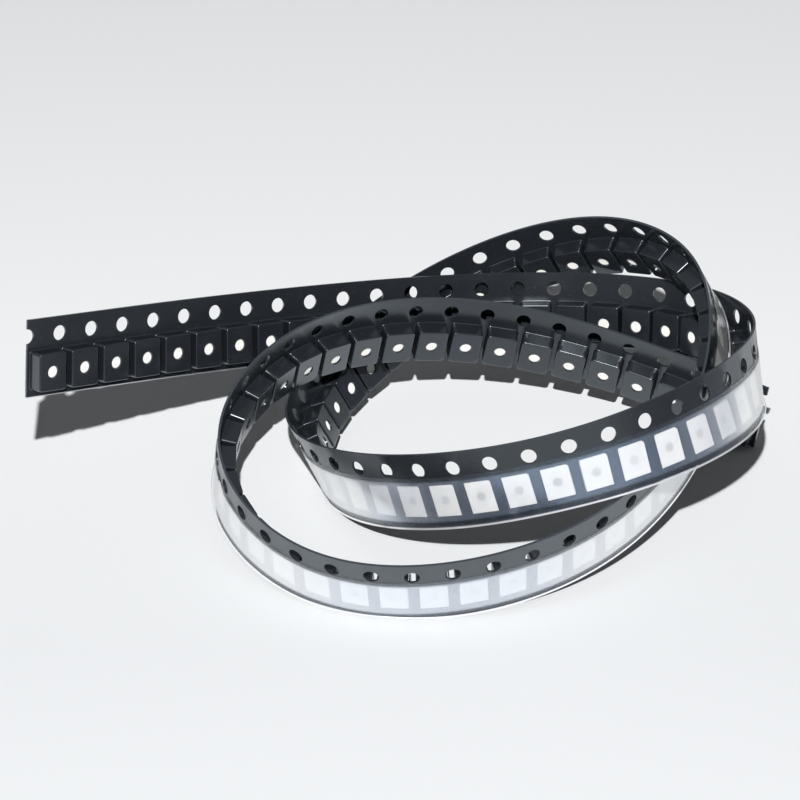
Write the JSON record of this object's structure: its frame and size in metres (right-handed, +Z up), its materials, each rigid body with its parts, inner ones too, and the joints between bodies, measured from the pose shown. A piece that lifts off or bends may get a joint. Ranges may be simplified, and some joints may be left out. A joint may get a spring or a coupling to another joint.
{
  "type": "smd led tape strip",
  "caption": "Loosely coiled strip of black embossed carrier tape with a small white surface-mount LED in each pocket, under clear cover tape.",
  "frame": {"origin": "below the middle of the coil's bounding box, on the surface that it lies on", "axes": "+Z up, +X to the right and +Y away as the coil is seen in the picture"},
  "size_m": [0.0774, 0.0536, 0.0234],
  "materials": {
    "tape_black": "satin black, slightly shiny on the formed pockets",
    "cover_clear": "clear thin plastic film, slightly hazy",
    "housing_white": "matt white moulded plastic"
  },
  "bodies": {
    "root": {"carrier_tape": "tape_black", "cover_tape": "cover_clear", "led_housings": "housing_white"}
  },
  "joints": []
}
